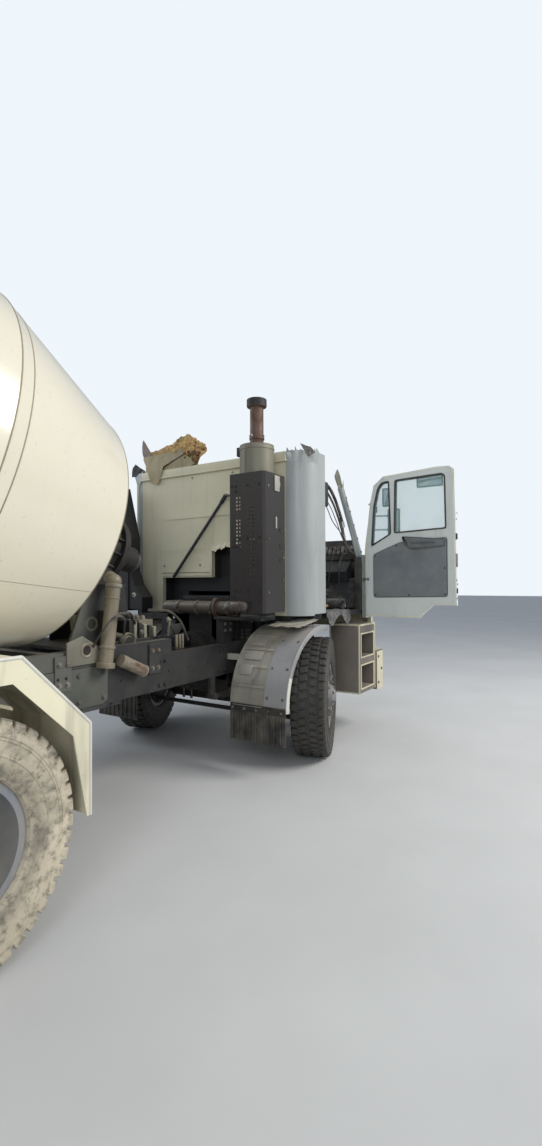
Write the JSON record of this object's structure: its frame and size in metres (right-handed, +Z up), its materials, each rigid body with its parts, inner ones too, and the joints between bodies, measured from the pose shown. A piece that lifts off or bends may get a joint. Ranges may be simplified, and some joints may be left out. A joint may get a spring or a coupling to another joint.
{
  "type": "three-axle concrete mixer truck",
  "caption": "Forward-control concrete mixer truck with an inclined drum, hopper, folding chute and a wrecked, roofless cab whose right door stands open.",
  "frame": {"origin": "on the ground, under the middle of the box around the parked truck", "axes": "+X forward, +Y to the left, +Z up; the front axle is at x 2.808 m and the truck's middle plane at y 0.338 m"},
  "size_m": [8.5654, 3.4589, 3.75],
  "materials": {
    "frame_paint": "worn matt paint",
    "mixer_frame_paint": "dusty pale paint",
    "drum_paint": "cream gloss paint",
    "cab_paint": "faded cream paint",
    "guard_paint": "dusty cream paint",
    "bumper_paint": "faded grey paint",
    "engine_metal": "oily casting",
    "pipe_metal": "dusty grey paint",
    "rusty_steel": "rusty",
    "roller_steel": "worn bare steel",
    "tyre_rubber": "dusty rubber",
    "flap_rubber": "dusty rubber",
    "rim_paint": "blue-grey paint",
    "dark_plastic": "matt",
    "seat_cloth": "worn cloth",
    "torn_lining": "torn foam and sheet",
    "lamp_lens": "clear and red lenses",
    "tank_metal": "dull metal"
  },
  "bodies": {
    "chassis": {"frame_rails": "frame_paint", "subframe": "mixer_frame_paint", "front_axle": "frame_paint", "rear_axles": "frame_paint", "springs": "frame_paint", "engine": "engine_metal", "propshafts": "frame_paint", "bumper": "bumper_paint", "steps": "bumper_paint", "lamps": "lamp_lens", "front_mudguards": "guard_paint", "rear_mudguards": "guard_paint", "mud_flaps": "flap_rubber", "exhaust": "rusty_steel", "exhaust_stack": "rusty_steel", "heat_shield": "rusty_steel", "air_intake": "dark_plastic", "front_pedestal": "mixer_frame_paint", "drum_gearbox": "engine_metal", "hydraulics": "pipe_metal", "rear_pedestal": "mixer_frame_paint", "hopper_frame": "mixer_frame_paint", "hopper": "drum_paint", "collector": "drum_paint", "ladder": "mixer_frame_paint", "tanks": "tank_metal", "tail_bar": "frame_paint"},
    "drum_body": {"drum_head": "drum_paint", "drum_shell": "drum_paint", "drum_cone": "drum_paint"},
    "roller_left_body": {"roller_left": "roller_steel"},
    "roller_right_body": {"roller_right": "roller_steel"},
    "steer_left_body": {"knuckle_left": "frame_paint"},
    "steer_right_body": {"knuckle_right": "frame_paint"},
    "tie_rod_body": {"tie_rod": "frame_paint"},
    "wheel_front_left": {"tyre_front_left": "tyre_rubber", "rim_front_left": "rim_paint"},
    "wheels_left_1": {"tyres_left_1": "tyre_rubber", "rims_left_1": "rim_paint"},
    "wheels_left_2": {"tyres_left_2": "tyre_rubber", "rims_left_2": "rim_paint"},
    "wheel_front_right": {"tyre_front_right": "tyre_rubber", "rim_front_right": "rim_paint"},
    "wheels_right_1": {"tyres_right_1": "tyre_rubber", "rims_right_1": "rim_paint"},
    "wheels_right_2": {"tyres_right_2": "tyre_rubber", "rims_right_2": "rim_paint"},
    "cab": {"cab_shell": "cab_paint", "cab_floor": "dark_plastic", "front_panel": "cab_paint", "dashboard": "dark_plastic", "seats": "seat_cloth", "torn_roof": "torn_lining"},
    "door_left_body": {"door_left": "cab_paint"},
    "door_right_body": {"door_right": "cab_paint"},
    "swivel": {"chute_swivel": "mixer_frame_paint"},
    "chute_body": {"chute": "drum_paint"},
    "extension": {"chute_extension": "drum_paint"},
    "jack_tube": {"jack_cylinder": "roller_steel"},
    "jack_ram": {"jack_rod": "roller_steel"}
  },
  "joints": [
    {"name": "drum_spin", "type": "hinge", "parent": "chassis", "child": "drum_body", "pos_m": [0.699, 0.338, 1.996], "axis": [-0.9659, 0, 0.2588], "continuous": true},
    {"name": "roller_left_spin", "type": "hinge", "parent": "chassis", "child": "roller_left_body", "pos_m": [-2.74346, 0.86013, 2.05335], "axis": [-0.9659, 0, 0.2588], "continuous": true},
    {"name": "roller_right_spin", "type": "hinge", "parent": "chassis", "child": "roller_right_body", "pos_m": [-2.74346, -0.18413, 2.05335], "axis": [-0.9659, 0, 0.2588], "continuous": true},
    {"name": "steer_left", "type": "hinge", "parent": "chassis", "child": "steer_left_body", "pos_m": [2.808, 1.188, 0.538], "axis": [0, 0, 1], "range_deg": [-58, 18]},
    {"name": "steer_right", "type": "hinge", "parent": "chassis", "child": "steer_right_body", "pos_m": [2.808, -0.512, 0.538], "axis": [0, 0, 1], "range_deg": [-58, 18]},
    {"name": "tie_rod_swing", "type": "hinge", "parent": "steer_left_body", "child": "tie_rod_body", "pos_m": [2.61066, 1.11618, 0.395], "axis": [0, 0, 1], "range_deg": [-18, 58]},
    {"name": "roll_front_left", "type": "hinge", "parent": "steer_left_body", "child": "wheel_front_left", "pos_m": [2.74986, 1.34775, 0.538], "axis": [-0.342, 0.9397, 0], "continuous": true},
    {"name": "roll_rear_left_1", "type": "hinge", "parent": "chassis", "child": "wheels_left_1", "pos_m": [-0.492, 1.253, 0.538], "axis": [0, 1, 0], "continuous": true},
    {"name": "roll_rear_left_2", "type": "hinge", "parent": "chassis", "child": "wheels_left_2", "pos_m": [-1.842, 1.253, 0.538], "axis": [0, 1, 0], "continuous": true},
    {"name": "roll_front_right", "type": "hinge", "parent": "steer_right_body", "child": "wheel_front_right", "pos_m": [2.86614, -0.67175, 0.538], "axis": [-0.342, 0.9397, 0], "continuous": true},
    {"name": "roll_rear_right_1", "type": "hinge", "parent": "chassis", "child": "wheels_right_1", "pos_m": [-0.492, -0.577, 0.538], "axis": [0, 1, 0], "continuous": true},
    {"name": "roll_rear_right_2", "type": "hinge", "parent": "chassis", "child": "wheels_right_2", "pos_m": [-1.842, -0.577, 0.538], "axis": [0, 1, 0], "continuous": true},
    {"name": "cab_tilt", "type": "hinge", "parent": "chassis", "child": "cab", "pos_m": [3.923, 0.338, 1.12], "axis": [0, 1, 0], "range_deg": [0, 50]},
    {"name": "door_left_swing", "type": "hinge", "parent": "cab", "child": "door_left_body", "pos_m": [3.866, 1.456, 1.5], "axis": [0, 0, 1], "range_deg": [-90, 0]},
    {"name": "door_right_swing", "type": "hinge", "parent": "cab", "child": "door_right_body", "pos_m": [3.866, -0.78, 1.5], "axis": [0, 0, 1], "range_deg": [-90, 0]},
    {"name": "chute_swivel_turn", "type": "hinge", "parent": "chassis", "child": "swivel", "pos_m": [-3.612, 0.338, 1.1], "axis": [0, 0, 1], "range_deg": [-10, 150]},
    {"name": "chute_lift", "type": "hinge", "parent": "swivel", "child": "chute_body", "pos_m": [-3.67014, 0.49775, 1.56], "axis": [0.9397, 0.342, 0], "range_deg": [-14, 16]},
    {"name": "jack_swing", "type": "hinge", "parent": "swivel", "child": "jack_tube", "pos_m": [-3.64791, 0.43667, 1.19], "axis": [0.9397, 0.342, 0], "range_deg": [-20, 20]},
    {"name": "jack_stroke", "type": "slide", "parent": "jack_tube", "child": "jack_ram", "axis": [-0.3231, 0.8876, 0.3282], "range_m": [-0.2, 0.2]},
    {"name": "extension_fold", "type": "hinge", "parent": "chute_body", "child": "extension", "pos_m": [-4.08159, 1.62818, 1.54863], "axis": [0.9397, 0.342, 0], "range_deg": [-180, 0]}
  ],
  "couplings": [
    {"joint": "roller_left_spin", "follows": "drum_spin", "ratio": -6.88},
    {"joint": "roller_right_spin", "follows": "drum_spin", "ratio": -6.88},
    {"joint": "steer_right", "follows": "steer_left", "ratio": 1},
    {"joint": "tie_rod_swing", "follows": "steer_left", "ratio": -1},
    {"joint": "jack_swing", "follows": "chute_lift", "ratio": 0.73393},
    {"joint": "jack_stroke", "follows": "chute_lift", "m_per_rad": 0.32429}
  ]
}
